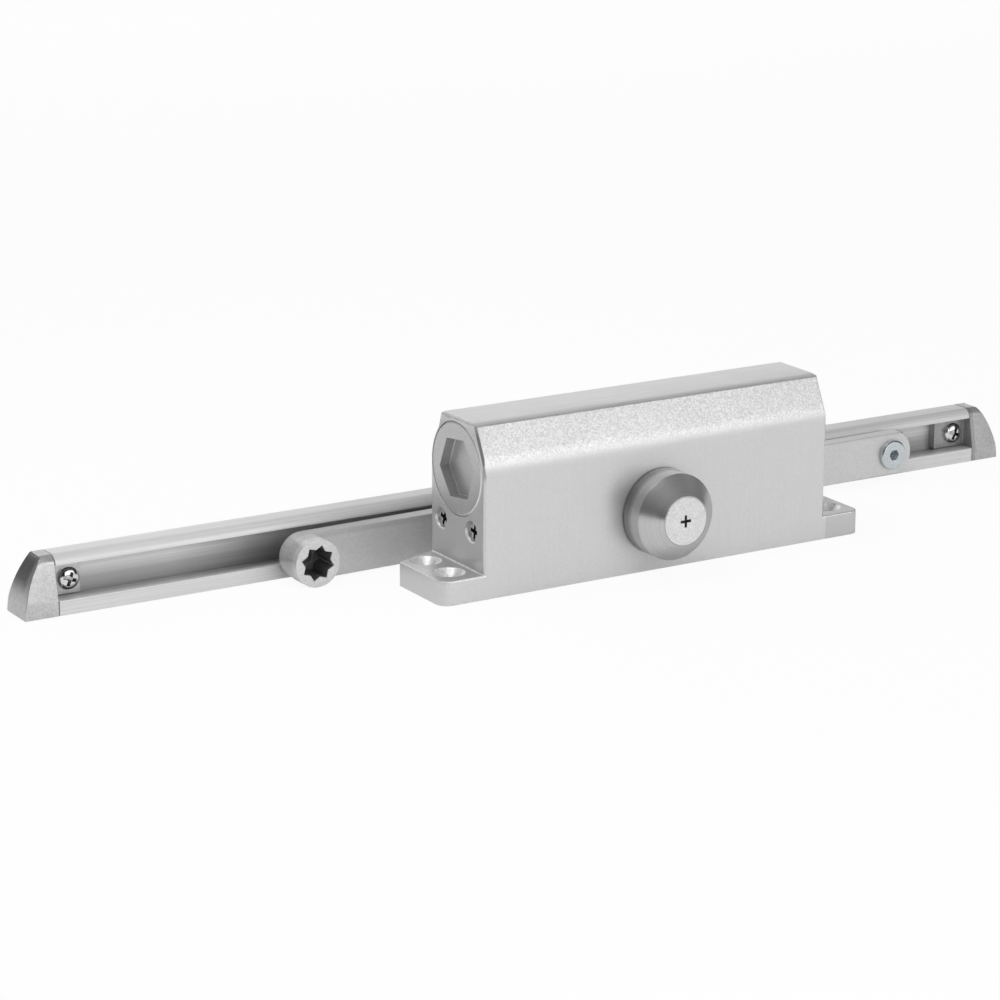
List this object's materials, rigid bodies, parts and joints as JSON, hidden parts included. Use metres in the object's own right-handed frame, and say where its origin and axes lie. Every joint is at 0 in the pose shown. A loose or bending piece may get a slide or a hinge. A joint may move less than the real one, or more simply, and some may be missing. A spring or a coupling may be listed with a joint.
{
  "type": "slide arm door closer",
  "caption": "Door closer with a rack and pinion hydraulic body on screw-down feet, a loose slide arm with a star socket hub, and a slide track with rounded end caps.",
  "frame": {"origin": "centre of the four fixing holes of the closer body, on the plane that the feet, the arm and the track stand on", "axes": "+X along the closer towards its spring end, +Y from the spindle cover to the bare spindle end and the track, +Z away from the mounting plane"},
  "size_m": [0.4374, 0.0938, 0.0636],
  "materials": {
    "silver_paint": "fine speckled silver coat on the cast body",
    "plug_metal": "turned, satin",
    "turned_cover": "turned, with fine rings",
    "steel": "ground steel",
    "spring_steel": "oiled spring wire",
    "bronze": "sintered bronze",
    "seal_rubber": "black nitrile",
    "zinc_screw": "bright zinc plate",
    "track_metal": "extruded, brushed along its length, anodised",
    "cap_coat": "fine speckled silver coat",
    "arm_coat": "silver coat",
    "slider_plastic": "black acetal",
    "washer_plastic": "natural nylon"
  },
  "bodies": {
    "closer": {"housing": "silver_paint", "left_end_plug": "plug_metal", "right_end_plug": "plug_metal", "left_plug_seal": "seal_rubber", "right_plug_seal": "seal_rubber", "front_bearing_nut": "steel", "rear_bearing_nut": "steel", "front_bush": "bronze", "rear_bush": "bronze", "front_shaft_seal": "seal_rubber", "rear_shaft_seal": "seal_rubber", "outer_spring": "spring_steel", "inner_spring": "spring_steel", "slide_track": "track_metal", "left_end_cap": "cap_coat", "right_end_cap": "cap_coat", "left_cap_screw": "zinc_screw", "right_cap_screw": "zinc_screw"},
    "spindle": {"pinion_spindle": "steel", "spindle_cover": "turned_cover", "cover_screw": "turned_cover"},
    "piston": {"piston": "steel", "check_ball": "steel", "ball_retainer": "steel"},
    "closing_valve": {"closing_valve": "zinc_screw", "closing_valve_seal": "seal_rubber"},
    "latching_valve": {"latching_valve": "zinc_screw", "latching_valve_seal": "seal_rubber"},
    "slider": {"slider_block": "slider_plastic", "slider_insert": "bronze", "pivot_screw": "zinc_screw", "pivot_washer": "washer_plastic"},
    "arm": {"slide_arm": "arm_coat", "arm_hub": "arm_coat"}
  },
  "joints": [
    {"name": "spindle_turn", "type": "hinge", "parent": "closer", "child": "spindle", "pos_m": [0, 0, 0.0225], "axis": [0, 1, 0], "range_deg": [0, 130]},
    {"name": "piston_slide", "type": "slide", "parent": "closer", "child": "piston", "axis": [1, 0, 0], "range_m": [0, 0.0245], "stiffness_N_per_m": 2000, "springref_m": -0.005, "deforming": ["outer_spring", "inner_spring"]},
    {"name": "closing_valve_turn", "type": "hinge", "parent": "closer", "child": "closing_valve", "pos_m": [-0.0741, 0.01175, 0.0231], "axis": [1, 0, 0], "range_deg": [-180, 180]},
    {"name": "latching_valve_turn", "type": "hinge", "parent": "closer", "child": "latching_valve", "pos_m": [-0.0741, -0.00975, 0.0231], "axis": [1, 0, 0], "range_deg": [-180, 180]},
    {"name": "slider_slide", "type": "slide", "parent": "closer", "child": "slider", "axis": [1, 0, 0], "range_m": [-0.338, 0.0215]},
    {"name": "arm_swing", "type": "hinge", "parent": "slider", "child": "arm", "pos_m": [0.14779, 0.036, 0.0117], "axis": [0, 1, 0], "range_deg": [0, 120]}
  ],
  "couplings": [
    {"joint": "spindle_turn", "follows": "piston_slide", "rad_per_m": 92.593}
  ]
}
